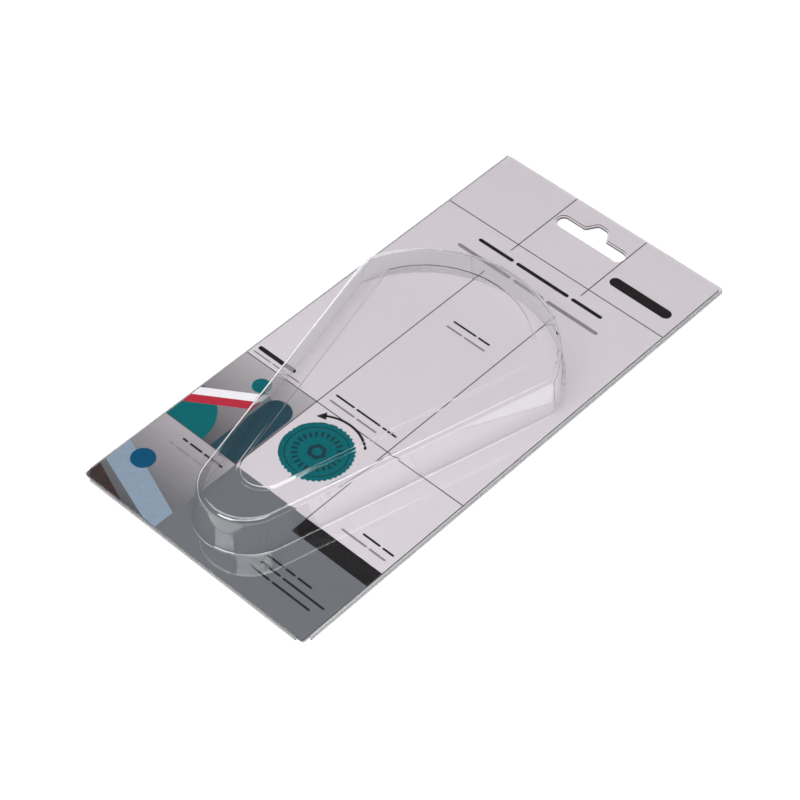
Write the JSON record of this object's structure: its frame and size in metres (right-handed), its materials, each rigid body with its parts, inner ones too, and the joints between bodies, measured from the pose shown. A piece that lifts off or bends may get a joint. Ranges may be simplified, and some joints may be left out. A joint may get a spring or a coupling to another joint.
{
  "type": "tool blister pack",
  "caption": "Flat clear blister pack: a drafted pear-shaped cavity over a printed card that slides into folded edges, with a hang slot, for showing a hand tool.",
  "frame": {"origin": "middle of the pack's footprint, on the surface that it lies on", "axes": "+X across the pack, +Y along it towards the hang slot, +Z out of the front, away from the surface that it lies on"},
  "size_m": [0.1, 0.21, 0.0164],
  "materials": {
    "card": "smooth coated board, printed",
    "clear_sheet": "clear thermoformed sheet, glossy"
  },
  "bodies": {
    "shell": {"blister_shell": "clear_sheet"},
    "card": {"backing_card": "card"}
  },
  "joints": [
    {"name": "card_slide", "type": "slide", "parent": "shell", "child": "card", "axis": [0, 1, 0], "range_m": [0, 0.19]}
  ]
}
